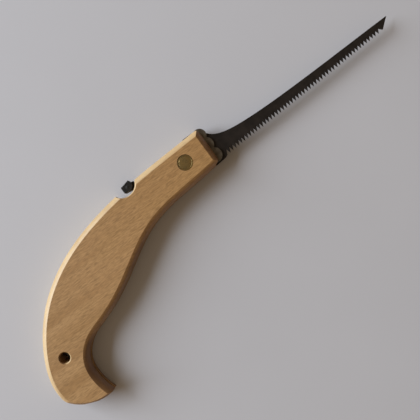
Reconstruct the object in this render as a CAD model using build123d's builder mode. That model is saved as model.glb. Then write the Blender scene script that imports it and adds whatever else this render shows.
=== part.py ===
"""Folding pruning saw with a laminated beech handle, lock spring and thumb lever.

Millimetres. The origin is on the blade's pivot axis, on the handle's resting face.
+X runs along the open blade, +Y to the handle's back, where the thumb lever is, +Z up.
Every handle piece is laid up about the mid-plane of the blade slot.
"""
from build123d import *
from math import atan2, cos, degrees, pi, radians, sin, sqrt
import os

os.makedirs("parts", exist_ok=True)

# ---- Driving dimensions -------------------------------------------------------------
handle_thickness = 22.0
slot_width = 3.0           # the middle layer, in which the blade and the lock lie
blade_reach = 207.5        # pivot axis to blade tip
fold_angle = 153.0         # blade swing from open to folded

edge_round = 7.6           # round-over of the handle's long edges
edge_trim = 0.6            # planed off the flat faces, which leaves a crisp line
end_round = 1.6            # softened edge of the hook's sawn end

wood_front = 24.2          # front end of the wood, ahead of the pivot
head_back_y = 17.1         # the head's two front corners, and how they are rounded
head_belly_y = -15.6
head_corner_r = 4.5
hanging_hole_r = 4.5
hanging_hole_chamfer = 0.75

blade_thickness = 1.4
root_r = 10.5              # rim that the lock rides on
root_low_angle = -58       # where the rim runs into the neck, and where it ends at the nose
root_high_angle = 62
heel_depth = 16.7          # blade depth below the pivot at its heel
blade_shoulder_x = 26.2    # corner where the neck starts, ahead of the stop
blade_shoulder_y = 13.4
tooth_pitch = 3.163
tooth_depth_heel = 4.4
tooth_depth_tip = 3.6
tooth_rake = 0.35          # how far a tooth's tip leans to the handle, mm
first_tooth_x = 31.2
tooth_flat = 0.12          # width of a tooth's point
tooth_line_heel_y = -14.9  # height of the line of points, and how far it bows out
tooth_line_tip_y = -7.8
tooth_line_bow = 0.6
tip_bevel_x = 9.0          # length of the nose bevel, measured along the blade

liner_thickness = 1.5
liner_edge_round = 0.5
liner_rear_x = -31.0
liner_front_gap = 2.0      # the let-in plate stops this far behind the wood's front
liner_corner_r = 8.0
liner_half_height = 12.6

barrel_r = 4.0             # barrel nut, which is the blade's axle
barrel_bore_r = 2.5
bush_r = 5.0
head_r = 6.7               # bolt head and nut flange
head_thickness = 1.8
head_recess = 0.5          # how far the head lies below the wood's face
head_chamfer = 0.5
shank_gap = 1.0            # between the bolt's end and the nut's flange
nut_slot_width = 1.4
nut_slot_depth = 0.9
washer_r = 8.0

lever_thickness = 2.6
lever_pin_x = -25.0
lever_pin_y = 9.3
lever_pin_r = 1.5
lever_boss_r = 2.7
spring_thickness = 2.4     # across the slot
spring_leaf = 1.4          # in the bending direction
spring_pin_r = 0.9
leaf_rear = (-29.2, 12.2)  # the leaf's under side runs between these two points
leaf_front = (3.6, 13.5)
corner_round = 0.25        # on the small steel pieces' corners
stop_pin_x = 19.5
stop_pin_y = 11.5
stop_pin_r = 2.0
stop_lobe_offset = 3.4     # the lobe around the stop pin sits this far ahead of it
stop_lobe_wall = 0.5
pin_depth = 3.5            # how deep the blind pins sit in each scale
pin_chamfer = 0.3
dowel_r = 2.5
dowel_chamfer = 0.5
dowel_depth = 5.5
screw_r = 1.0
screw_head_r = 1.9
screw_length = 5.0

pad_width = 13.0           # thumb pad, across the handle
pad_rivet_r = 1.25
pad_groove = 0.8           # side of the grooves' square cutter
pad_corner_round = 0.5
pad_edge_chamfer = 0.4
pad_fork_width = 14.0      # slot in the pad that straddles the lever's tail
pad_fork_top_y = 14.3
pad_fork_depth = 10.8

# Clearances
running_fit = 0.05         # radial, on pins that turn
side_play = 0.1            # beside each face of the blade
slot_play = 0.2            # beside each face of the lever
seat_gap = 0.12            # between a stop and what it stops
lift_gap = 0.35            # between the lever's toe and the spring
blade_room = 2.0           # around the folded blade, inside the slot
swing_room = 22.0          # degrees of arc that the slot leaves open around its tip

# Levels, from the resting face up
middle = handle_thickness / 2
slot_bottom = middle - slot_width / 2
slot_top = middle + slot_width / 2
scale_thickness = slot_bottom

# Places on the handle that keep their distance from the pivot
notch_x = -52.9            # the thumb notch is a round scallop
notch_y = 16.6
notch_r = 11.3
notch_rim_x = -52.3        # its edge is eased for the thumb, most at the front
notch_rim_y = 17.5
notch_rim_r = 12.7
notch_rim_depth = 2.6
spine_front_x = -58.0

cutter_side = 3 * blade_reach  # larger than the whole saw


def swung(x, y, angle=-fold_angle):
    """A point of the open blade after the blade has turned by angle about the pivot."""
    c = cos(radians(angle))
    s = sin(radians(angle))
    return (x * c - y * s, x * s + y * c)


def reach_point(share_x, share_y):
    """A point of the grip, as shares of the blade's reach, so it follows the folded blade."""
    return (share_x * blade_reach, share_y * blade_reach)


# ---- Handle -------------------------------------------------------------------------
# The grip's widest outline: the back from the head to the hook, then the belly from the
# hook to the head. Points near the head are set by the lock, the others by the blade.
back_line = [
    (wood_front + 8, 17.5),
    (0, 16.0),
    (-40, 14.1),
    reach_point(-0.386, 0.044),
    reach_point(-0.587, -0.011),
    reach_point(-0.787, -0.133),
    reach_point(-0.910, -0.292),
    reach_point(-0.951, -0.417),
    reach_point(-0.938, -0.510),
]
belly_line = [
    reach_point(-0.742, -0.590),
    reach_point(-0.775, -0.479),
    reach_point(-0.766, -0.409),
    reach_point(-0.711, -0.347),
    reach_point(-0.622, -0.313),
    reach_point(-0.469, -0.245),
    (-48.7, -25.3),
    (0, -18.5),
    (wood_front + 8, -14.4),
]
hook_end = [
    reach_point(-0.946, -0.470),
    reach_point(-0.865, -0.542),
    reach_point(-0.749, -0.555),
]
hanging_hole = reach_point(-0.835, -0.339)

with BuildSketch() as grip_outline:
    with BuildLine():
        back = Spline(*back_line)
        belly = Spline(*belly_line)
        Line(back @ 1, belly @ 0)
        Line(belly @ 1, back @ 0)
    make_face()

with BuildSketch() as past_hook:
    with BuildLine():
        end_arc = ThreePointArc(*hook_end)
        Polyline(
            end_arc @ 1,
            reach_point(-0.60, -0.56),
            reach_point(-0.60, -0.75),
            reach_point(-1.15, -0.75),
            reach_point(-1.15, -0.47),
            end_arc @ 0,
        )
    make_face()

with BuildSketch() as thumb_notch:
    with Locations((notch_x, notch_y)):
        Circle(notch_r)

# What is rounded off the head's two front corners
with BuildSketch() as head_corners:
    for corner_y, side in ((head_back_y, 1), (head_belly_y, -1)):
        inner_y = corner_y - side * head_corner_r
        outer_y = corner_y + side * head_corner_r
        with BuildLine():
            corner_arc = CenterArc(
                (wood_front - head_corner_r, inner_y), head_corner_r, 0, side * 90
            )
            Polyline(
                corner_arc @ 1,
                (wood_front - head_corner_r, outer_y),
                (wood_front + head_corner_r, outer_y),
                (wood_front + head_corner_r, inner_y),
                corner_arc @ 0,
            )
        make_face()

# Upper half of the handle's outside, before anything is fitted into it
with BuildPart() as blank:
    with BuildSketch(Plane.XY.offset(slot_top)):
        add(grip_outline.sketch)
    extrude(amount=scale_thickness + edge_trim)
    rims = blank.faces().sort_by(Axis.Z)[-1].edges().filter_by(GeomType.BSPLINE)
    fillet(rims, edge_round)
    # the head's front end is rounded over the same way, straight across
    with BuildSketch(Plane.XZ) as side_view:
        full_height = scale_thickness + edge_trim
        with Locations((wood_front, slot_top)):
            Rectangle(cutter_side, full_height, align=(Align.MAX, Align.MIN))
        top_front = side_view.vertices().group_by(Axis.X)[-1].sort_by(Axis.Y)[-1]
        fillet(top_front, edge_round)
    extrude(amount=blade_reach, both=True, mode=Mode.INTERSECT)
    with BuildSketch(Plane.XY.offset(slot_top)):
        add(head_corners.sketch)
    extrude(amount=full_height, mode=Mode.SUBTRACT)
    # the faces are planed flat
    with BuildSketch(Plane.XY.offset(handle_thickness)):
        Rectangle(cutter_side, cutter_side)
    extrude(amount=2 * edge_trim, mode=Mode.SUBTRACT)
    # the hook is sawn off in an arc and its edge softened
    with BuildSketch(Plane.XY.offset(slot_top)):
        add(past_hook.sketch)
    extrude(amount=scale_thickness, mode=Mode.SUBTRACT)
    with BuildSketch(Plane.XY.offset(handle_thickness)):
        add(past_hook.sketch)
        offset(amount=end_round, kind=Kind.INTERSECTION)
    extrude(amount=-end_round, taper=45, mode=Mode.SUBTRACT)
    # thumb notch and hanging hole go right through
    with BuildSketch(Plane.XY.offset(slot_top)):
        add(thumb_notch.sketch)
    extrude(amount=scale_thickness, mode=Mode.SUBTRACT)
    with BuildSketch(Plane.XY.offset(handle_thickness)):
        with Locations((notch_rim_x, notch_rim_y)):
            Circle(notch_rim_r)
    extrude(amount=-notch_rim_depth, taper=45, mode=Mode.SUBTRACT)
    with BuildSketch(Plane.XY.offset(slot_top)):
        with Locations(hanging_hole):
            Circle(hanging_hole_r)
    extrude(amount=scale_thickness, mode=Mode.SUBTRACT)
    hole_rim = (
        blank.faces()
        .sort_by(Axis.Z)[-1]
        .edges()
        .filter_by(lambda e: e.geom_type == GeomType.CIRCLE and e.radius < hanging_hole_r + 0.1)
    )
    chamfer(hole_rim, hanging_hole_chamfer)


mid_plane = Plane.XY.offset(middle)

# Steel liner: three bolster lobes ahead of the wood, and a plate let into it behind them
stop_lobe_r = stop_pin_r + stop_lobe_offset + stop_lobe_wall
liner_lobes = [
    (stop_pin_x + stop_lobe_offset, stop_pin_y, stop_lobe_r),
    (23.2, 2.0, 6.4),
    (23.8, -8.8, 6.4),
]
liner_holes = [
    (0, 0, barrel_r),
    (lever_pin_x, lever_pin_y, lever_pin_r),
    (stop_pin_x, stop_pin_y, stop_pin_r),
]
screw_places = [(-20, -7), (12, -8), (10, 8)]
with BuildSketch() as liner_outline:
    plate_length = wood_front - liner_front_gap - liner_rear_x
    with Locations((liner_rear_x, 0)):
        Rectangle(plate_length, 2 * liner_half_height, align=(Align.MIN, Align.CENTER))
    rear_corners = liner_outline.vertices().group_by(Axis.X)[0]
    fillet(rear_corners, liner_corner_r)
    for lobe_x, lobe_y, lobe_r in liner_lobes:
        with Locations((lobe_x, lobe_y)):
            Circle(lobe_r)

# Lock spring and its pins: a leaf with a head that stands in the slot behind the bolster
spring_pin_places = [(-37.2, 11.3), (-31.8, 11.9)]

# Places of the dowels that lined the layers up while they were glued
dowel_places = [reach_point(-0.335, 0.0), reach_point(-0.60, -0.10), reach_point(-0.905, -0.36)]

with BuildPart() as handle_upper_scale:
    add(blank.part)
    # liner pocket, then the bolt head's counterbore and the barrel's way through
    with BuildSketch(Plane.XY.offset(slot_top)):
        add(liner_outline.sketch)
    extrude(amount=liner_thickness, mode=Mode.SUBTRACT)
    with BuildSketch(Plane.XY.offset(handle_thickness)):
        Circle(head_r)
    extrude(amount=-head_recess - head_thickness, mode=Mode.SUBTRACT)
    with BuildSketch(Plane.XY.offset(slot_top)):
        Circle(barrel_r)
    extrude(amount=scale_thickness, mode=Mode.SUBTRACT)
    # blind holes for pins, dowels and liner screws
    with BuildSketch(Plane.XY.offset(slot_top)):
        with Locations((lever_pin_x, lever_pin_y)):
            Circle(lever_pin_r)
        with Locations((stop_pin_x, stop_pin_y)):
            Circle(stop_pin_r)
        with Locations(*spring_pin_places):
            Circle(spring_pin_r)
    extrude(amount=pin_depth, mode=Mode.SUBTRACT)
    with BuildSketch(Plane.XY.offset(slot_top)):
        with Locations(*dowel_places):
            Circle(dowel_r)
    extrude(amount=dowel_depth, mode=Mode.SUBTRACT)
    with BuildSketch(Plane.XY.offset(slot_top + liner_thickness)):
        with Locations(*screw_places):
            Circle(screw_r)
    extrude(amount=screw_length - liner_thickness, mode=Mode.SUBTRACT)
handle_upper_scale.part.label = "handle_upper_scale"
export_step(handle_upper_scale.part, "parts/handle_upper_scale.step")

# The lower half is the same, turned over, with its counterbore for the nut
with BuildPart() as handle_lower_scale:
    mirror(handle_upper_scale.part, about=mid_plane)
handle_lower_scale.part.label = "handle_lower_scale"
export_step(handle_lower_scale.part, "parts/handle_lower_scale.step")

# Middle layer: the back of the grip only, so the slot is open along the belly and hook.
# Its inner edge keeps clear of the folded blade's teeth and tip.
room_r = blade_reach + blade_room
last_tooth_x = blade_reach - tip_bevel_x
wall_start = swung(first_tooth_x, tooth_line_heel_y - blade_room)
wall_end_y = tooth_line_tip_y - tooth_line_bow - blade_room
wall_end = swung(sqrt(room_r**2 - wall_end_y**2), wall_end_y)
sweep_mid = swung(room_r, 0, -fold_angle + swing_room / 2)
sweep_end = swung(room_r, 0, -fold_angle + swing_room)
with BuildSketch() as blade_sweep:
    with BuildLine():
        room_arc = ThreePointArc(wall_end, sweep_mid, sweep_end)
        Polyline(room_arc @ 1, (0, -0.2 * blade_reach), (0, 0), wall_start, room_arc @ 0)
    make_face()

with BuildPart() as handle_spine:
    with BuildSketch(Plane.XY.offset(slot_bottom)):
        add(grip_outline.sketch)
        add(past_hook.sketch, mode=Mode.SUBTRACT)
        add(thumb_notch.sketch, mode=Mode.SUBTRACT)
        add(blade_sweep.sketch, mode=Mode.SUBTRACT)
        with Locations((spine_front_x, 0)):
            Rectangle(
                blade_reach, blade_reach, align=(Align.MIN, Align.CENTER), mode=Mode.SUBTRACT
            )
        with Locations(hanging_hole):
            Circle(hanging_hole_r, mode=Mode.SUBTRACT)
        with Locations(*dowel_places):
            Circle(dowel_r, mode=Mode.SUBTRACT)
    extrude(amount=slot_width)
handle_spine.part.label = "handle_spine"
export_step(handle_spine.part, "parts/handle_spine.step")

with BuildPart() as handle_dowels:
    with BuildSketch(Plane.XY.offset(slot_bottom - dowel_depth)):
        with Locations(*dowel_places):
            Circle(dowel_r)
    extrude(amount=2 * dowel_depth + slot_width)
    chamfer(handle_dowels.edges().filter_by(GeomType.CIRCLE), dowel_chamfer)
handle_dowels.part.label = "handle_dowels"
export_step(handle_dowels.part, "parts/handle_dowels.step")

# ---- Liners -------------------------------------------------------------------------
with BuildPart() as upper_liner:
    with BuildSketch(Plane.XY.offset(slot_top)):
        add(liner_outline.sketch)
        for hole_x, hole_y, hole_r in liner_holes:
            with Locations((hole_x, hole_y)):
                Circle(hole_r, mode=Mode.SUBTRACT)
        with Locations(*screw_places):
            Circle(screw_r, mode=Mode.SUBTRACT)
    extrude(amount=liner_thickness)
    # countersinks for the screws, which are put in from the slot
    with BuildSketch(Plane.XY.offset(slot_top)):
        with Locations(*screw_places):
            Circle(screw_head_r)
    extrude(amount=screw_head_r - screw_r, taper=45, mode=Mode.SUBTRACT)
    # the lobes' outer edge is rounded where it shows
    outer_rim = (
        upper_liner.faces()
        .sort_by(Axis.Z)[-1]
        .edges()
        .filter_by(lambda e: e.geom_type == GeomType.CIRCLE and (e @ 0.5).X > wood_front)
    )
    fillet(outer_rim, liner_edge_round)
upper_liner.part.label = "upper_liner"
export_step(upper_liner.part, "parts/upper_liner.step")

with BuildPart() as lower_liner:
    mirror(upper_liner.part, about=mid_plane)
lower_liner.part.label = "lower_liner"
export_step(lower_liner.part, "parts/lower_liner.step")

with BuildPart() as upper_liner_screws:
    with BuildSketch(Plane.XY.offset(slot_top)):
        with Locations(*screw_places):
            Circle(screw_r)
    extrude(amount=screw_length)
    with BuildSketch(Plane.XY.offset(slot_top)):
        with Locations(*screw_places):
            Circle(screw_head_r)
    extrude(amount=screw_head_r - screw_r, taper=45)
upper_liner_screws.part.label = "upper_liner_screws"
export_step(upper_liner_screws.part, "parts/upper_liner_screws.step")

with BuildPart() as lower_liner_screws:
    mirror(upper_liner_screws.part, about=mid_plane)
lower_liner_screws.part.label = "lower_liner_screws"
export_step(lower_liner_screws.part, "parts/lower_liner_screws.step")

# ---- Blade --------------------------------------------------------------------------
blade_bottom = middle - blade_thickness / 2
nose_left_x = 4.8          # lock nose, and the root's notch around it
nose_width = 3.2
nose_right_x = nose_left_x + nose_width
nose_tip_y = 6.7
notch_shoulder_y = 9.0
nose_blunt = 0.6           # how far the nose bevel stops above the line of points
seat_r = stop_pin_r + seat_gap


def seat_point(angle):
    """A point of the round seat that bears on the stop pin."""
    c = cos(radians(angle))
    s = sin(radians(angle))
    return (stop_pin_x + seat_r * c, stop_pin_y + seat_r * s)


def tooth_line(x):
    """(height of the tooth tips, depth of the teeth) at a place along the blade."""
    share = (x - first_tooth_x) / (last_tooth_x - first_tooth_x)
    rise = (tooth_line_tip_y - tooth_line_heel_y) * share
    tip_y = tooth_line_heel_y + rise - tooth_line_bow * sin(share * pi)
    depth = tooth_depth_heel + (tooth_depth_tip - tooth_depth_heel) * share
    return tip_y, depth


# Pull teeth: each point leans to the handle, with a short gullet behind it
tooth_count = int((last_tooth_x - first_tooth_x) / tooth_pitch)
tooth_points = []
for n in range(tooth_count):
    tooth_x = first_tooth_x + (n + 0.5) * tooth_pitch
    tip_y, depth = tooth_line(tooth_x)
    gullet_y = tip_y + depth
    tooth_points += [
        (tooth_x - tooth_rake - tooth_flat / 2, tip_y),
        (tooth_x - tooth_rake + tooth_flat / 2, tip_y),
        (tooth_x + tooth_pitch / 2, gullet_y),
    ]

with BuildPart() as blade:
    with BuildSketch(Plane.XY.offset(blade_bottom)) as blade_outline:
        with BuildLine():
            seat = ThreePointArc(seat_point(-138), seat_point(-45), seat_point(0))
            sweep = Spline(
                (26.9, 12.9),
                (35, 5.2),
                (45, 2.0),
                (60, 0.1),
                (80, -0.9),
                (0.53 * blade_reach, -1.2),
                (0.75 * blade_reach, -0.6),
                (blade_reach, 0.3),
            )
            Polyline(
                seat @ 1,
                (stop_pin_x + seat_r, blade_shoulder_y),
                (blade_shoulder_x, blade_shoulder_y),
                sweep @ 0,
            )
            Polyline(
                sweep @ 1,
                (last_tooth_x, tooth_line_tip_y + nose_blunt),
                tooth_points[-1],
            )
            Polyline(*reversed(tooth_points))
            heel = Polyline(
                tooth_points[0],
                (first_tooth_x - 1.0, -heel_depth + 0.8),
                (20.5, -heel_depth),
                (17.8, -heel_depth + 0.7),
            )
            root_low = swung(root_r, 0, root_low_angle)
            ThreePointArc(heel @ 1, (12.5, -11.2), root_low)
            rim_end = swung(root_r, 0, root_high_angle)
            ThreePointArc(root_low, (-root_r, 0), rim_end)
            Polyline(rim_end, (nose_right_x + seat_gap, notch_shoulder_y), seat @ 0)
        make_face()
        # bore for the bush, and a notch for the lock's nose at each end of the swing
        Circle(bush_r + running_fit, mode=Mode.SUBTRACT)
        for angle in (0, fold_angle):
            with Locations(Location((0, 0), angle)):
                with Locations((nose_left_x - seat_gap, nose_tip_y - seat_gap)):
                    Rectangle(
                        nose_width + 2 * seat_gap,
                        root_r,
                        align=(Align.MIN, Align.MIN),
                        mode=Mode.SUBTRACT,
                    )
    extrude(amount=blade_thickness)
blade.part.label = "blade"
export_step(blade.part, "parts/blade.step")

# ---- Pivot --------------------------------------------------------------------------
head_top = handle_thickness - head_recess
with BuildPart() as pivot_barrel_nut:
    with BuildSketch(Plane.XY.offset(head_recess)):
        Circle(head_r)
    extrude(amount=head_thickness)
    flange_rim = pivot_barrel_nut.faces().sort_by(Axis.Z)[0].edges()
    chamfer(flange_rim, head_chamfer)
    with BuildSketch(Plane.XY.offset(head_recess + head_thickness)):
        Circle(barrel_r)
    extrude(amount=handle_thickness - 2 * (head_recess + head_thickness))
    with BuildSketch(Plane.XY.offset(head_recess)):
        Rectangle(3 * head_r, nut_slot_width)
    extrude(amount=nut_slot_depth, mode=Mode.SUBTRACT)
    with BuildSketch(Plane.XY.offset(head_recess + head_thickness)):
        Circle(barrel_bore_r)
    extrude(amount=handle_thickness, mode=Mode.SUBTRACT)
pivot_barrel_nut.part.label = "pivot_barrel_nut"
export_step(pivot_barrel_nut.part, "parts/pivot_barrel_nut.step")

with BuildPart() as pivot_bolt:
    with BuildSketch(Plane.XY.offset(head_top - head_thickness)):
        Circle(head_r)
    extrude(amount=head_thickness)
    bolt_rim = pivot_bolt.faces().sort_by(Axis.Z)[-1].edges()
    chamfer(bolt_rim, head_chamfer)
    with BuildSketch(Plane.XY.offset(head_top - head_thickness)):
        Circle(barrel_bore_r)
    extrude(amount=-(handle_thickness - 2 * (head_recess + head_thickness) - shank_gap))
    shank_end = pivot_bolt.faces().sort_by(Axis.Z)[0].edges()
    chamfer(shank_end, head_chamfer)
pivot_bolt.part.label = "pivot_bolt"
export_step(pivot_bolt.part, "parts/pivot_bolt.step")

with BuildPart() as pivot_bush:
    with BuildSketch(Plane.XY.offset(slot_bottom)):
        Circle(bush_r)
        Circle(barrel_r, mode=Mode.SUBTRACT)
    extrude(amount=slot_width)
pivot_bush.part.label = "pivot_bush"
export_step(pivot_bush.part, "parts/pivot_bush.step")

washer_thickness = (slot_width - blade_thickness) / 2 - side_play
with BuildPart() as lower_washer:
    with BuildSketch(Plane.XY.offset(slot_bottom)):
        Circle(washer_r)
        Circle(bush_r, mode=Mode.SUBTRACT)
    extrude(amount=washer_thickness)
lower_washer.part.label = "lower_washer"
export_step(lower_washer.part, "parts/lower_washer.step")

with BuildPart() as upper_washer:
    mirror(lower_washer.part, about=mid_plane)
upper_washer.part.label = "upper_washer"
export_step(upper_washer.part, "parts/upper_washer.step")

with BuildPart() as blade_stop_pin:
    with BuildSketch(Plane.XY.offset(slot_bottom - pin_depth)):
        with Locations((stop_pin_x, stop_pin_y)):
            Circle(stop_pin_r)
    extrude(amount=2 * pin_depth + slot_width)
    chamfer(blade_stop_pin.edges().filter_by(GeomType.CIRCLE), pin_chamfer)
blade_stop_pin.part.label = "blade_stop_pin"
export_step(blade_stop_pin.part, "parts/blade_stop_pin.step")

# ---- Lock ---------------------------------------------------------------------------
# The spring's nose drops into the blade's notch. The lever's toe lifts it out again.
spring_bottom_level = middle - spring_thickness / 2
with BuildPart() as lock_spring:
    with BuildSketch(Plane.XY.offset(spring_bottom_level)) as spring_outline:
        with BuildLine():
            # tail, leaf, head standing a little proud of the back, and nose
            leaf_low = Line(leaf_rear, leaf_front)
            Polyline(
                leaf_low @ 1,
                (nose_left_x, 13.0),
                (nose_left_x, nose_tip_y),
                (nose_right_x, nose_tip_y),
                (nose_right_x, 12.6),
                (18.2, 13.9),
                (18.6, 17.3),
                (9.6, 17.2),
                (7.0, 13.8 + spring_leaf),
                (leaf_rear[0] + 0.6, leaf_rear[1] + spring_leaf),
                (-33.0, 13.6),
                (-39.0, 13.0),
                (-39.0, 9.8),
                (-31.0, 10.3),
                leaf_low @ 0,
            )
        make_face()
        fillet(spring_outline.vertices(), corner_round)
        with Locations(*spring_pin_places):
            Circle(spring_pin_r, mode=Mode.SUBTRACT)
    extrude(amount=spring_thickness)
lock_spring.part.label = "lock_spring"
export_step(lock_spring.part, "parts/lock_spring.step")

with BuildPart() as lock_spring_pins:
    with BuildSketch(Plane.XY.offset(slot_bottom - pin_depth)):
        with Locations(*spring_pin_places):
            Circle(spring_pin_r)
    extrude(amount=2 * pin_depth + slot_width)
lock_spring_pins.part.label = "lock_spring_pins"
export_step(lock_spring_pins.part, "parts/lock_spring_pins.step")

pad_rivet_x = -50.0
pad_rivet_y = 11.9
with BuildPart() as lock_lever:
    with BuildSketch(Plane.XY.offset(middle - lever_thickness / 2)) as lever_outline:
        with BuildLine():
            toe_top = leaf_front[1] - lift_gap
            Polyline(
                (lever_pin_x, lever_pin_y + lever_boss_r - 1.2),
                (-14, 11.5),
                (3.2, toe_top),
                (3.7, toe_top - 0.5),
                (3.3, 11.0),
                (-4, 11.0),
                (-14, 8.9),
                (lever_pin_x, lever_pin_y - lever_boss_r),
                (-37, 5.6),
                (-44, 5.7),
                (-49, 8.2),
                (-53.2, 10.3),
                (-53.2, 13.2),
                (-48.0, 14.2),
                (-43.8, 14.1),
                (-43.5, 12.6),
                (-42.6, 10.2),
                (-40.5, 8.5),
                (-36, 8.3),
                close=True,
            )
        make_face()
        fillet(lever_outline.vertices(), corner_round)
        with Locations((lever_pin_x, lever_pin_y)):
            Circle(lever_boss_r)
            Circle(lever_pin_r + running_fit, mode=Mode.SUBTRACT)
        with Locations((pad_rivet_x, pad_rivet_y)):
            Circle(pad_rivet_r, mode=Mode.SUBTRACT)
    extrude(amount=lever_thickness)
lock_lever.part.label = "lock_lever"
export_step(lock_lever.part, "parts/lock_lever.step")

with BuildPart() as lock_lever_pin:
    with BuildSketch(Plane.XY.offset(slot_bottom - pin_depth)):
        with Locations((lever_pin_x, lever_pin_y)):
            Circle(lever_pin_r)
    extrude(amount=2 * pin_depth + slot_width)
    chamfer(lock_lever_pin.edges().filter_by(GeomType.CIRCLE), pin_chamfer)
lock_lever_pin.part.label = "lock_lever_pin"
export_step(lock_lever_pin.part, "parts/lock_lever_pin.step")

# The pad is forked over the lever's tail and riveted across it. Its thumb face is cut
# across with shallow grooves so that a wet glove doesn't slip.
pad_bottom = middle - pad_width / 2
pad_front = (-46.9, 16.7)
pad_rear = (-54.6, 15.0)
pad_slope = degrees(atan2(pad_front[1] - pad_rear[1], pad_front[0] - pad_rear[0]))
with BuildPart() as thumb_pad:
    with BuildSketch(Plane.XY.offset(pad_bottom)) as pad_outline:
        Polygon(
            (-55.1, 9.2),
            (-49.8, 8.5),
            (-47.2, 9.4),
            (-45.9, 11.3),
            (-45.9, 15.2),
            pad_front,
            pad_rear,
            (-55.1, 14.4),
            align=None,
        )
        fillet(pad_outline.vertices(), pad_corner_round)
    extrude(amount=pad_width)
    chamfer(thumb_pad.faces().filter_by(Axis.Z).edges(), pad_edge_chamfer)
    with BuildSketch(Plane.XY.offset(pad_bottom)):
        for share in (0.14, 0.32, 0.50, 0.68, 0.86):
            groove_x = pad_rear[0] + share * (pad_front[0] - pad_rear[0])
            groove_y = pad_rear[1] + share * (pad_front[1] - pad_rear[1])
            with Locations(Location((groove_x, groove_y), pad_slope + 45)):
                Rectangle(pad_groove, pad_groove)
    extrude(amount=pad_width, mode=Mode.SUBTRACT)
    with BuildSketch(Plane.XY.offset(middle - lever_thickness / 2)):
        with Locations((pad_rivet_x, pad_fork_top_y)):
            Rectangle(pad_fork_width, pad_fork_depth, align=(Align.CENTER, Align.MAX))
    extrude(amount=lever_thickness, mode=Mode.SUBTRACT)
    with BuildSketch(Plane.XY.offset(pad_bottom)):
        with Locations((pad_rivet_x, pad_rivet_y)):
            Circle(pad_rivet_r)
    extrude(amount=pad_width, mode=Mode.SUBTRACT)
thumb_pad.part.label = "thumb_pad"
export_step(thumb_pad.part, "parts/thumb_pad.step")

with BuildPart() as thumb_pad_rivet:
    with BuildSketch(Plane.XY.offset(pad_bottom)):
        with Locations((pad_rivet_x, pad_rivet_y)):
            Circle(pad_rivet_r)
    extrude(amount=pad_width)
thumb_pad_rivet.part.label = "thumb_pad_rivet"
export_step(thumb_pad_rivet.part, "parts/thumb_pad_rivet.step")
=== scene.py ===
import math

import bmesh
import bpy
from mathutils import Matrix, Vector
from mathutils.geometry import tessellate_polygon


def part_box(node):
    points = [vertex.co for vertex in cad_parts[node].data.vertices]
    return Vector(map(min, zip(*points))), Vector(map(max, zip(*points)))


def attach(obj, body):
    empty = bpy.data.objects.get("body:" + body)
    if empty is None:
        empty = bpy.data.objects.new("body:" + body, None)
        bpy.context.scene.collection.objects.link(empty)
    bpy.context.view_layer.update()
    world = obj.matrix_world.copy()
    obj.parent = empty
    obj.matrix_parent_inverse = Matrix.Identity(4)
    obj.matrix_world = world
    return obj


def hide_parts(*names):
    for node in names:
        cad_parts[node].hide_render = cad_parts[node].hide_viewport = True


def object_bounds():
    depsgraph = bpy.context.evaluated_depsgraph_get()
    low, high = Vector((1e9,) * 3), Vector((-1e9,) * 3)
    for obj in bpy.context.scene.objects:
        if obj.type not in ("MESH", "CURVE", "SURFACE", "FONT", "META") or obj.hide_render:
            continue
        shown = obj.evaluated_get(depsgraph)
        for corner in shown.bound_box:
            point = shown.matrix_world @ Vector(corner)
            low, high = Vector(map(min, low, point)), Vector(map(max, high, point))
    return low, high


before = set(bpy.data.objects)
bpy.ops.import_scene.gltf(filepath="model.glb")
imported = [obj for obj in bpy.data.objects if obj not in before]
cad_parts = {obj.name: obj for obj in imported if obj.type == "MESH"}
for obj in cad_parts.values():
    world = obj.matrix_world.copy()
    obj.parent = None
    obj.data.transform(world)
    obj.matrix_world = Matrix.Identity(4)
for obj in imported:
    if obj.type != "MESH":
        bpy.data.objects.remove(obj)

cad_low, cad_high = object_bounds()
mm = 0.001

# ---- Shared helpers -------------------------------------------------------------------
# What every material and every turned or cut piece is made with. An input is linked when
# it is given a socket, and set when it is given a value.
FLOAT, COLOUR = "NodeSocketFloat", "NodeSocketColor"


def add_node(tree, kind, feeds=None, **settings):
    """A shader node with its settings, and its inputs set or linked."""
    made = tree.nodes.new(kind)
    for name, value in settings.items():
        setattr(made, name, value)
    for name, value in (feeds or {}).items():
        if isinstance(value, bpy.types.NodeSocket):
            tree.links.new(value, made.inputs[name])
        else:
            made.inputs[name].default_value = value
    return made


def new_material(name, **constants):
    """(material, its node tree, its Principled shader), with constants on the shader."""
    made = bpy.data.materials.new(name)
    made.use_nodes = True
    shader = made.node_tree.nodes["Principled BSDF"]
    for socket, value in constants.items():
        shader.inputs[socket.replace("_", " ")].default_value = value
    return made, made.node_tree, shader


def new_group(name, takes, gives):
    """(shader node group, its input sockets, its output node)."""
    made = bpy.data.node_groups.new(name, "ShaderNodeTree")
    for label, kind, value in takes:
        socket = made.interface.new_socket(label, in_out="INPUT", socket_type=kind)
        socket.default_value = value
    for label, kind in gives:
        made.interface.new_socket(label, in_out="OUTPUT", socket_type=kind)
    source = made.nodes.new("NodeGroupInput").outputs
    return made, source, made.nodes.new("NodeGroupOutput")


def wear(node, material):
    """Makes a material the only one of a piece, which is given itself or by node name."""
    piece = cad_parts[node] if isinstance(node, str) else node
    piece.data.materials.clear()
    piece.data.materials.append(material)


def coordinates(tree, kind="Object"):
    return add_node(tree, "ShaderNodeTexCoord").outputs[kind]


def noise(tree, place, scale, detail, **feeds):
    """Noise at a place, from 0 to 1 but mostly between 0.3 and 0.7."""
    feeds = {"Vector": place, "Scale": scale, "Detail": detail, **feeds}
    return add_node(tree, "ShaderNodeTexNoise", feeds).outputs["Fac"]


def between(tree, value, low, high, to_low=0.0, to_high=1.0):
    """A value mapped from one range to another and held within it."""
    return add_node(
        tree,
        "ShaderNodeMapRange",
        {"Value": value, "From Min": low, "From Max": high, "To Min": to_low, "To Max": to_high},
    ).outputs["Result"]


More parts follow.
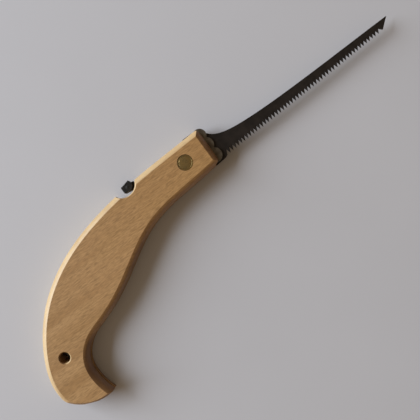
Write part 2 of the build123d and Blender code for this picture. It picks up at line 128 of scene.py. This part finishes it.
def maths(tree, operation, a, b):
    return add_node(tree, "ShaderNodeMath", {0: a, 1: b}, operation=operation).outputs[0]


def blended(tree, share, a, b, how="MIX"):
    """Colour a with a share of colour b over it."""
    feeds = {"Factor": share, "A": a, "B": b}
    mix = add_node(tree, "ShaderNodeMix", feeds, data_type="RGBA", blend_type=how)
    return mix.outputs["Result"]


def add_relief(tree, shader, height, strength, depth):
    """Bump on a shader, from a height between 0 and 1 and the depth that it stands for."""
    feeds = {"Strength": strength, "Distance": depth, "Height": height}
    relief = add_node(tree, "ShaderNodeBump", feeds)
    tree.links.new(relief.outputs["Normal"], shader.inputs["Normal"])


def new_piece(name, mesh):
    """An object made from a bmesh, which is freed."""
    bmesh.ops.recalc_face_normals(mesh, faces=mesh.faces)
    data = bpy.data.meshes.new(name)
    mesh.to_mesh(data)
    mesh.free()
    piece = bpy.data.objects.new(name, data)
    bpy.context.scene.collection.objects.link(piece)
    return piece


def turned(name, profile, axis, facets=96):
    """A lathe-turned piece. Its (radius, height) profile starts and ends on the axis."""
    mesh = bmesh.new()
    rings = []
    for radius, height in profile:
        ring = []
        for n in range(facets if radius else 1):
            turn = 2 * math.pi * n / facets
            spot = (axis.x + radius * math.cos(turn), axis.y + radius * math.sin(turn), height)
            ring.append(mesh.verts.new(spot))
        rings.append(ring)
    for lower, upper in zip(rings, rings[1:]):
        for n in range(facets):
            a, b = lower[n % len(lower)], lower[(n + 1) % len(lower)]
            c, d = upper[(n + 1) % len(upper)], upper[n % len(upper)]
            mesh.faces.new([v for k, v in enumerate((a, b, c, d)) if v not in (a, b, c, d)[:k]])
    piece = new_piece(name, mesh)
    piece.data.shade_smooth()
    piece.data.set_sharp_from_angle(angle=math.radians(30))
    return piece


# ---- Table, camera and light ----------------------------------------------------------
# The saw lies flat on a matt pale-grey table and is seen from straight above. A wide
# window-like light stands low beyond the handle's back, on the side of the hook, and the
# room fills the rest.
sight_height = 500 * mm
sight_x, sight_y = -6.5 * mm, -43.2 * mm
blade_slant = math.radians(36.3)  # how far the blade points above the picture's level

eye = bpy.data.objects.new("eye", bpy.data.cameras.new("eye"))
bpy.context.scene.collection.objects.link(eye)
eye.location = (sight_x, sight_y, sight_height)
eye.rotation_euler = (0, 0, -blade_slant)
eye.data.sensor_width = 36
eye.data.lens = 50.3
bpy.context.scene.camera = eye
bpy.context.scene.view_settings.view_transform = "Standard"

table_reach = 3.0
bpy.ops.mesh.primitive_plane_add(size=2 * table_reach, location=(0, 0, 0))
table = bpy.context.object
table.name = "table_top"
table.location.z = cad_low[2]

paint, tree, shader = new_material("table_paint", Roughness=0.9, Specular_IOR_Level=0.2)
mottle = noise(tree, coordinates(tree), 9.0, 3.0)
tint = blended(tree, mottle, (0.55, 0.555, 0.565, 1), (0.58, 0.585, 0.595, 1))
tree.links.new(tint, shader.inputs["Base Color"])
wear(table, paint)

window_side = math.radians(137)
window_height = math.radians(27)
window_distance = 3.2
window = bpy.data.objects.new("window", bpy.data.lights.new("window", "AREA"))
bpy.context.scene.collection.objects.link(window)
window.data.shape = "RECTANGLE"
window.data.size = 2.7
window.data.size_y = 2.7
window.data.energy = 172
window.data.color = (0.83, 0.89, 1.0)
towards = Vector(
    (
        math.cos(window_side) * math.cos(window_height),
        math.sin(window_side) * math.cos(window_height),
        math.sin(window_height),
    )
)
window.location = Vector((sight_x, sight_y, 0)) + towards * window_distance
window.rotation_euler = towards.to_track_quat("Z", "Y").to_euler()

# The room lights the saw warmly, and is itself seen as a plain pale wall past the table
room = bpy.data.worlds.new("room")
room.use_nodes = True
tree = room.node_tree
glow = tree.nodes["Background"]
glow.inputs["Color"].default_value = (1.0, 0.74, 0.5, 1)
glow.inputs["Strength"].default_value = 0.25
wall = add_node(tree, "ShaderNodeBackground", {"Color": (0.50, 0.50, 0.51, 1), "Strength": 1.0})
seen = add_node(
    tree,
    "ShaderNodeMixShader",
    {
        0: add_node(tree, "ShaderNodeLightPath").outputs["Is Camera Ray"],
        1: glow.outputs["Background"],
        2: wall.outputs["Background"],
    },
)
tree.links.new(seen.outputs["Shader"], tree.nodes["World Output"].inputs["Surface"])
bpy.context.scene.world = room

# ---- Handle ---------------------------------------------------------------------------
# Two shaped boards of pale beech with a third between them, glued and pinned with hidden
# dowels, sanded and wiped with oil. The grain runs straight along the blade's line.

# How much an edge is rounded over, from the difference between the true and eased normal
rubbed, takes, gives = new_group(
    "rubbed_edges", [("Width", FLOAT, 0.0006)], [("Mask", FLOAT)]
)
eased = add_node(rubbed, "ShaderNodeBevel", {"Radius": takes["Width"]}, samples=6)
true_normal = add_node(rubbed, "ShaderNodeNewGeometry").outputs["Normal"]
closeness = add_node(
    rubbed,
    "ShaderNodeVectorMath",
    {0: eased.outputs["Normal"], 1: true_normal},
    operation="DOT_PRODUCT",
).outputs["Value"]
rubbed.links.new(between(rubbed, closeness, 0.99, 0.80), gives.inputs["Mask"])


def edge_mask(tree, width):
    """Where a piece's edges are rubbed, over a width."""
    edges = add_node(tree, "ShaderNodeGroup", node_tree=rubbed)
    edges.inputs["Width"].default_value = width
    return edges.outputs["Mask"]


# Beech: faint broad year rings, fine pores and short brown ray flecks, all along X
beech_figure, takes, gives = new_group(
    "beech_figure",
    [
        ("Pale", COLOUR, (0.52, 0.33, 0.16, 1)),
        ("Deep", COLOUR, (0.40, 0.235, 0.105, 1)),
        ("Fleck", COLOUR, (0.25, 0.142, 0.05, 1)),
        ("Fleck Strength", FLOAT, 0.5),
        ("Shift", FLOAT, 0.0),
    ],
    [("Color", COLOUR), ("Height", FLOAT), ("Roughness", FLOAT)],
)
shift = add_node(beech_figure, "ShaderNodeCombineXYZ")
for axis in range(3):
    beech_figure.links.new(takes["Shift"], shift.inputs[axis])


def beech_noise(along, across, detail, **feeds):
    """Noise drawn out along the grain, with its cycles per metre along and across it."""
    moved = add_node(
        beech_figure,
        "ShaderNodeVectorMath",
        {0: coordinates(beech_figure), 1: (along, across, across), 2: shift.outputs["Vector"]},
        operation="MULTIPLY_ADD",
    )
    return noise(beech_figure, moved.outputs["Vector"], 1.0, detail, **feeds)


bands = beech_noise(7, 120, 4.0, Roughness=0.55, Distortion=0.15)
clouds = beech_noise(14, 45, 2.0)
pores = beech_noise(185, 1000, 3.0, Roughness=0.65)
flecks = beech_noise(160, 900, 1.0, Roughness=0.4)
fleck_mask = between(beech_figure, flecks, 0.56, 0.68)
ground_tone = blended(
    beech_figure, between(beech_figure, bands, 0.32, 0.68), takes["Pale"], takes["Deep"]
)
warmed = blended(
    beech_figure,
    between(beech_figure, clouds, 0.35, 0.7, 0.0, 0.28),
    ground_tone,
    (0.47, 0.255, 0.09, 1),
)
pored = blended(
    beech_figure, between(beech_figure, pores, 0.38, 0.64, 0.0, 0.55), warmed, takes["Fleck"]
)
fleck_share = maths(beech_figure, "MULTIPLY", fleck_mask, takes["Fleck Strength"])
flecked = blended(beech_figure, fleck_share, pored, takes["Fleck"])
beech_figure.links.new(flecked, gives.inputs["Color"])
hollows = maths(beech_figure, "ADD", pores, maths(beech_figure, "MULTIPLY", fleck_mask, 0.8))
beech_figure.links.new(maths(beech_figure, "SUBTRACT", 1.0, hollows), gives.inputs["Height"])
beech_figure.links.new(
    between(beech_figure, clouds, 0.3, 0.7, 0.42, 0.56), gives.inputs["Roughness"]
)

# Where oil and light change the wood's colour: a painted highlight along the back, painted
# shade along the belly, the sawn end grain darker from oil with painted shade on every face
# turned towards the blade, and the oil from the pivot yellowing the wood towards the head
light_and_oil_group, takes, gives = new_group(
    "oil_and_painted_light",
    [],
    [
        ("Painted Back Highlight", FLOAT),
        ("Painted Belly Shade", FLOAT),
        ("End Grain And Painted Shade", FLOAT),
        ("Oiled Head", FLOAT),
    ],
)
facing = add_node(
    light_and_oil_group, "ShaderNodeSeparateXYZ", {"Vector": coordinates(light_and_oil_group, "Normal")}
).outputs
blotches = noise(light_and_oil_group, coordinates(light_and_oil_group), 60.0, 3.0)
uneven = between(light_and_oil_group, blotches, 0.3, 0.7, 0.65, 1.0)
# masks by the way each face is turned: painted highlight on the back, painted shade on the belly
# and on faces turned towards the blade
outward = maths(light_and_oil_group, "SUBTRACT", facing["Y"], maths(light_and_oil_group, "MULTIPLY", facing["X"], 0.8))
back_highlight_mask = between(light_and_oil_group, outward, 0.15, 0.6)
belly_shade_mask = between(light_and_oil_group, facing["Y"], -0.2, -0.75)
end_shade_mask = between(light_and_oil_group, facing["X"], 0.3, 0.5)
for name, mask in (("Painted Back Highlight", back_highlight_mask), ("Painted Belly Shade", belly_shade_mask), ("End Grain And Painted Shade", end_shade_mask)):
    light_and_oil_group.links.new(maths(light_and_oil_group, "MULTIPLY", mask, uneven), gives.inputs[name])
along = add_node(
    light_and_oil_group, "ShaderNodeSeparateXYZ", {"Vector": coordinates(light_and_oil_group)}
).outputs["X"]
handle_back_end, handle_front = (corner.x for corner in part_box("handle_upper_scale"))
light_and_oil_group.links.new(
    between(light_and_oil_group, along, handle_back_end, handle_front), gives.inputs["Oiled Head"]
)


def beech(name, shift, pale, deep):
    """Oiled beech, with its own piece of the tree."""
    made, tree, shader = new_material(name, Coat_Weight=0.12, Coat_Roughness=0.35)
    figure = add_node(tree, "ShaderNodeGroup", node_tree=beech_figure)
    figure.inputs["Shift"].default_value = shift
    figure.inputs["Pale"].default_value = (*pale, 1)
    figure.inputs["Deep"].default_value = (*deep, 1)
    light_and_oil = add_node(tree, "ShaderNodeGroup", node_tree=light_and_oil_group)
    tone = blended(
        tree, light_and_oil.outputs["Oiled Head"], figure.outputs["Color"], (0.92, 0.86, 0.73, 1), "MULTIPLY"
    )
    # Painted light over the wood: painted shade along the belly, the end grain's own darker oiling
    # with painted shade on faces turned towards the blade, and a painted highlight along the back
    for place, share, colour in (
        ("Painted Belly Shade", 0.6, (0.22, 0.108, 0.035, 1)),
        ("End Grain And Painted Shade", 0.95, (0.13, 0.062, 0.024, 1)),
        ("Painted Back Highlight", 0.62, (0.78, 0.60, 0.32, 1)),
    ):
        amount = maths(tree, "MULTIPLY", light_and_oil.outputs[place], share)
        tone = blended(tree, amount, tone, colour)
    amount = maths(tree, "MULTIPLY", edge_mask(tree, 0.7 * mm), 0.25)
    handled = blended(tree, amount, tone, (0.60, 0.40, 0.21, 1))
    tree.links.new(handled, shader.inputs["Base Color"])
    tree.links.new(figure.outputs["Roughness"], shader.inputs["Roughness"])
    add_relief(tree, shader, figure.outputs["Height"], strength=0.35, depth=0.06 * mm)
    return made


for node, shift, pale, deep in (
    ("handle_upper_scale", 0.0, (0.545, 0.333, 0.143), (0.395, 0.221, 0.081)),
    ("handle_lower_scale", 3.7, (0.535, 0.327, 0.139), (0.385, 0.217, 0.078)),
    ("handle_spine", 8.2, (0.49, 0.310, 0.150), (0.40, 0.240, 0.110)),
    ("handle_dowels", 12.9, (0.56, 0.370, 0.190), (0.48, 0.290, 0.140)),
):
    wear(node, beech(f"{node}_beech", shift, pale, deep))

# ---- Bolster plates -------------------------------------------------------------------
# Two pressed steel plates, one let into the wood on each side of the blade, with three
# lobes that stand out at the head. Barrel-polished, then dulled to an olive grey by handling.
steel_surface, takes, gives = new_group(
    "steel_surface",
    [
        ("Clean", COLOUR, (0.3, 0.3, 0.28, 1)),
        ("Dull", COLOUR, (0.16, 0.15, 0.12, 1)),
        ("Along", FLOAT, 60.0),
        ("Across", FLOAT, 2400.0),
        ("Rough Low", FLOAT, 0.3),
        ("Rough High", FLOAT, 0.5),
    ],
    [("Color", COLOUR), ("Roughness", FLOAT), ("Height", FLOAT)],
)
place = coordinates(steel_surface)
reach = add_node(
    steel_surface,
    "ShaderNodeCombineXYZ",
    {"X": takes["Along"], "Y": takes["Across"], "Z": takes["Across"]},
)
drawn = add_node(
    steel_surface,
    "ShaderNodeVectorMath",
    {0: place, 1: reach.outputs["Vector"]},
    operation="MULTIPLY",
)
scratches = noise(steel_surface, drawn.outputs["Vector"], 1.0, 3.0, Roughness=0.6)
stains = noise(steel_surface, place, 130.0, 4.0, Roughness=0.6)
steel_surface.links.new(
    blended(
        steel_surface, between(steel_surface, stains, 0.38, 0.62), takes["Clean"], takes["Dull"]
    ),
    gives.inputs["Color"],
)
spread = maths(steel_surface, "SUBTRACT", takes["Rough High"], takes["Rough Low"])
steel_surface.links.new(
    maths(
        steel_surface,
        "ADD",
        takes["Rough Low"],
        maths(steel_surface, "MULTIPLY", spread, scratches),
    ),
    gives.inputs["Roughness"],
)
steel_surface.links.new(scratches, gives.inputs["Height"])


def steel(name, clean, dull, rough, scratch=(60, 2400), metal=1.0, edge=None, edge_width=0.4):
    """Worked steel: tones, roughness range, scratch cycles per metre along and across it, and
    the tone and width in millimetres of its rubbed edges."""
    made, tree, shader = new_material(name, Metallic=metal)
    surface = add_node(tree, "ShaderNodeGroup", node_tree=steel_surface)
    surface.inputs["Clean"].default_value = (*clean, 1)
    surface.inputs["Dull"].default_value = (*dull, 1)
    surface.inputs["Rough Low"].default_value = rough[0]
    surface.inputs["Rough High"].default_value = rough[1]
    surface.inputs["Along"].default_value = scratch[0]
    surface.inputs["Across"].default_value = scratch[1]
    tone = surface.outputs["Color"]
    if edge:
        tone = blended(tree, edge_mask(tree, edge_width * mm), tone, (*edge, 1))
    tree.links.new(tone, shader.inputs["Base Color"])
    tree.links.new(surface.outputs["Roughness"], shader.inputs["Roughness"])
    add_relief(tree, shader, surface.outputs["Height"], strength=0.25, depth=0.02 * mm)
    return made


# The plates' edges are painted lighter all round: partly worn bright by polishing, partly a painted
# highlight on the lobes' bevelled rims
bolster = steel(
    "bolster_steel", (0.20, 0.185, 0.148), (0.105, 0.088, 0.064), (0.38, 0.6),
    scratch=(500, 900), edge=(0.36, 0.355, 0.33), edge_width=0.6,
)
screw_steel = steel("screw_steel", (0.45, 0.45, 0.43), (0.3, 0.29, 0.27), (0.3, 0.5))
for side in ("upper", "lower"):
    wear(f"{side}_liner", bolster)
    wear(f"{side}_liner_screws", screw_steel)

# ---- Blade ----------------------------------------------------------------------------
# Spring steel with a baked black finish. The teeth are bent to alternate sides, and their
# flanks are filed bright afterwards, so that each ends in a point and cuts on the pull.
blade_low, blade_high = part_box("blade")
blade_middle = (blade_low[2] + blade_high[2]) / 2
blade_half = (blade_high[2] - blade_low[2]) / 2
tooth_set = 0.45 * mm  # how far a point is bent out of the plate
point_half = 0.16 * mm  # half thickness of a tooth's point
gullet_half = 0.34 * mm  # half thickness that filing leaves between two teeth
ridge_share = 0.42  # how far down a tooth its unfiled ridge reaches
point_width = 0.12 * mm  # by which a point's two corners are known in the CAD outline
same_width = 0.02 * mm
same_place = 0.001 * mm
filing_depth = 0.9 * mm  # how far behind the gullets the filing fades out


def outline_loops(piece, level):
    """The flat face of a CAD piece at a level, as closed loops of points, longest first."""
    mesh = piece.data
    flat = {n for n, v in enumerate(mesh.vertices) if abs(v.co.z - level) < same_place}
    spots = {n: tuple(round(c / same_place) for c in mesh.vertices[n].co[:2]) for n in flat}
    sides = set()
    for polygon in mesh.polygons:
        if all(n in flat for n in polygon.vertices):
            corners = [spots[n] for n in polygon.vertices]
            sides.update(zip(corners, corners[1:] + corners[:1]))
    following = {a: b for a, b in sides if (b, a) not in sides}
    loops = []
    while following:
        start = min(following)
        loop, here = [start], following.pop(start)
        while here != start:
            loop.append(here)
            here = following.pop(here)
        loops.append([Vector((x * same_place, y * same_place)) for x, y in loop])
    return sorted(loops, key=len, reverse=True)


rim, *bores = outline_loops(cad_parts["blade"], blade_high[2])
loops = [rim, *bores]
rim_count = len(rim)
points = [
    n
    for n in range(rim_count)
    if abs((rim[n] - rim[(n + 1) % rim_count]).length - point_width) < same_width
    and rim[n].y < 0
]
tips = {n + k for n in points for k in (0, 1)}
roots = sorted({n + k for n in points for k in (-1, 2)})
blade_mesh = bmesh.new()
for_side = {}  # side to its vertices by (loop, point), and to those behind the roots
for side in (1, -1):
    face_level = blade_middle + side * blade_half
    corners = {
        (number, n): blade_mesh.verts.new((spot.x, spot.y, face_level))
        for number, loop in enumerate(loops)
        for n, spot in enumerate(loop)
    }
    for n in roots:
        corners[0, n].co.z = blade_middle + side * gullet_half
    for order, n in enumerate(points):
        bend = tooth_set if order % 2 else -tooth_set
        for tip in (n, n + 1):
            corners[0, tip].co.z = blade_middle + bend + side * point_half
    # a line of full thickness behind the gullets, so the filing stays in the teeth
    behind = {
        n: blade_mesh.verts.new((rim[n].x, rim[n].y + filing_depth, face_level)) for n in roots
    }
    for_side[side] = corners, behind

for side, (corners, behind) in for_side.items():
    plate = [behind.get(n) or corners[0, n] for n in range(rim_count) if n not in tips]
    bored = [[corners[k + 1, n] for n in range(len(bore))] for k, bore in enumerate(bores)]
    outlines = [[v.co.xy.to_3d() for v in outline] for outline in (plate, *bored)]
    spots = [v for outline in (plate, *bored) for v in outline]
    for triangle in tessellate_polygon(outlines):
        blade_mesh.faces.new([spots[k] for k in triangle])
    # the row's two ends, where the line behind the gullets meets the outline
    for end, beyond in ((roots[0], roots[0] - 1), (roots[-1], roots[-1] + 1)):
        blade_mesh.faces.new((corners[0, beyond], corners[0, end], behind[end]))
    for n in points:
        left, tip, next_tip, right = (corners[0, k] for k in range(n - 1, n + 3))
        base = (left.co + right.co) / 2
        point = (tip.co + next_tip.co) / 2
        crest = base.lerp(point, ridge_share)
        crest.z = blade_middle + side * blade_half + ridge_share * (point.z - blade_middle)
        ridge = blade_mesh.verts.new(crest)
        around = [behind[n - 1], left, tip, next_tip, right, behind[n + 2]]
        for k, corner in enumerate(around):
            filed = blade_mesh.faces.new((corner, around[(k + 1) % len(around)], ridge))
            filed.material_index = 0 if k == len(around) - 1 else 1
for number, loop in enumerate(loops):
    for n in range(len(loop)):
        after = (n + 1) % len(loop)
        around = ((1, n), (1, after), (-1, after), (-1, n))
        edge = blade_mesh.faces.new([for_side[side][0][number, k] for side, k in around])
        edge.material_index = 1 if number == 0 and (n in tips or after in tips) else 0
saw_blade = new_piece("saw_blade", blade_mesh)
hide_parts("blade")
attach(saw_blade, "blade")

coating = steel(
    "blade_black", (0.026, 0.0205, 0.016), (0.015, 0.012, 0.0095), (0.40, 0.56),
    scratch=(40, 1500), metal=0.5, edge=(0.10, 0.09, 0.08), edge_width=0.15,
)
filed_steel = steel(
    "filed_teeth", (0.50, 0.49, 0.47), (0.10, 0.09, 0.08), (0.28, 0.45),
    scratch=(900, 900), metal=1.0, edge=(0.45, 0.44, 0.43), edge_width=0.08,
)
wear(saw_blade, coating)
saw_blade.data.materials.append(filed_steel)

# ---- Pivot bolt and nut ---------------------------------------------------------------
# A turned brass bolt screws from above into a slotted brass barrel nut, which comes from
# below and is the blade's axle. Both heads are let into the wood and have gone dull.
shank_r = 2.5 * mm
shank_chamfer = 0.5 * mm
head_r = 6.7 * mm
head_thickness = 1.8 * mm
# The head's face from its edge inwards, as (radius, depth below its top) in millimetres: a
# raised rim, a turned groove and a low crown
head_face = (
    (6.7, 0.5), (6.5, 0.2), (6.2, 0.08), (5.6, 0.06),
    (5.4, 0.24), (5.1, 0.24),
    (4.9, 0.10), (3.6, 0.04), (1.8, 0.01), (0, 0),
)
bolt_low, bolt_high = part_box("pivot_bolt")
bolt_profile = [
    (0, bolt_low.z),
    (shank_r - shank_chamfer, bolt_low.z),
    (shank_r, bolt_low.z + shank_chamfer),
    (shank_r, bolt_high.z - head_thickness),
    (head_r, bolt_high.z - head_thickness),
    *((radius * mm, bolt_high.z - depth * mm) for radius, depth in head_face),
]
brass_bolt = turned("brass_bolt", bolt_profile, (bolt_low + bolt_high) / 2)
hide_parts("pivot_bolt")
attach(brass_bolt, "handle")

# Rings that a lathe tool leaves around the pivot's axis, with scratches from use over them
lathe_marks, takes, gives = new_group(
    "lathe_marks",
    [("Rings", FLOAT, 2600.0)],
    [("Height", FLOAT), ("Stain", FLOAT)],
)
place = coordinates(lathe_marks)
parts = add_node(lathe_marks, "ShaderNodeSeparateXYZ", {"Vector": place}).outputs
flat_place = add_node(lathe_marks, "ShaderNodeCombineXYZ", {"X": parts["X"], "Y": parts["Y"]})
distance = add_node(
    lathe_marks,
    "ShaderNodeVectorMath",
    {0: flat_place.outputs["Vector"]},
    operation="LENGTH",
).outputs["Value"]
rings = add_node(
    lathe_marks,
    "ShaderNodeTexNoise",
    {"W": maths(lathe_marks, "MULTIPLY", distance, takes["Rings"]), "Scale": 1.0, "Detail": 2.0},
    noise_dimensions="1D",
).outputs["Fac"]
dents = noise(lathe_marks, place, 900.0, 3.0, Roughness=0.6)
tarnish = noise(lathe_marks, place, 420.0, 4.0, Roughness=0.65, Distortion=0.6)
lathe_marks.links.new(maths(lathe_marks, "ADD", rings, dents), gives.inputs["Height"])
lathe_marks.links.new(between(lathe_marks, tarnish, 0.38, 0.62), gives.inputs["Stain"])

brass, tree, shader = new_material("aged_brass", Metallic=1.0)
marks = add_node(tree, "ShaderNodeGroup", node_tree=lathe_marks)
tone = blended(
    tree, marks.outputs["Stain"], (0.37, 0.265, 0.105, 1), (0.20, 0.145, 0.058, 1)
)
tone = blended(tree, edge_mask(tree, 0.25 * mm), tone, (0.46, 0.35, 0.16, 1))
tree.links.new(tone, shader.inputs["Base Color"])
tree.links.new(
    between(tree, marks.outputs["Stain"], 0.0, 1.0, 0.34, 0.5), shader.inputs["Roughness"]
)
add_relief(tree, shader, marks.outputs["Height"], strength=0.5, depth=0.03 * mm)
wear(brass_bolt, brass)
wear("pivot_barrel_nut", brass)

# ---- Pivot bush and washers -----------------------------------------------------------
# A bronze bush around the barrel carries the blade, and a thin bronze washer on each side
# keeps it off the liners.
bronze = steel("bronze", (0.45, 0.27, 0.12), (0.33, 0.19, 0.08), (0.3, 0.45))
for node in ("pivot_bush", "upper_washer", "lower_washer"):
    wear(node, bronze)

# ---- Lock -----------------------------------------------------------------------------
# A blued leaf spring whose nose drops into the blade's root, and a black rocker whose toe
# lifts it. The pins that hold them and stop the open blade are ground bright.
blued = steel(
    "blued_spring", (0.07, 0.07, 0.075), (0.04, 0.037, 0.035), (0.3, 0.45), edge=(0.2, 0.2, 0.2)
)
blacked = steel(
    "blacked_steel", (0.025, 0.0235, 0.021), (0.014, 0.0135, 0.012), (0.42, 0.6),
    metal=0.6, edge=(0.075, 0.072, 0.066),
)
ground = steel("ground_pin", (0.5, 0.5, 0.48), (0.35, 0.34, 0.32), (0.25, 0.4))
wear("lock_spring", blued)
wear("lock_lever", blacked)
for node in ("lock_lever_pin", "lock_spring_pins", "blade_stop_pin"):
    wear(node, ground)

# ---- Thumb pad ------------------------------------------------------------------------
# A blacked steel block, forked over the rocker's tail and riveted to it, with grooves cut
# across its face. The rivet's two ends are formed into low domes.
wear("thumb_pad", blacked)
rivet_low, rivet_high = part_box("thumb_pad_rivet")
rivet_r = (rivet_high.x - rivet_low.x) / 2
dome_r = rivet_r + 0.35 * mm
dome_height = 0.3 * mm
dome_steps = 6
domes = []
for level, side in ((rivet_low.z, -1), (rivet_high.z, 1)):
    dome = [
        (dome_r * math.cos(turn), level + side * dome_height * math.sin(turn))
        for turn in (math.pi * n / (2 * dome_steps) for n in range(dome_steps))
    ]
    domes.append([*dome, (0, level + side * dome_height)])
rivet_profile = [
    *reversed(domes[0]),
    (rivet_r, rivet_low.z),
    (rivet_r, rivet_high.z),
    *domes[1],
]
domed_rivet = turned("domed_rivet", rivet_profile, (rivet_low + rivet_high) / 2, facets=48)
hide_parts("thumb_pad_rivet")
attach(domed_rivet, "lever")
wear(domed_rivet, blacked)
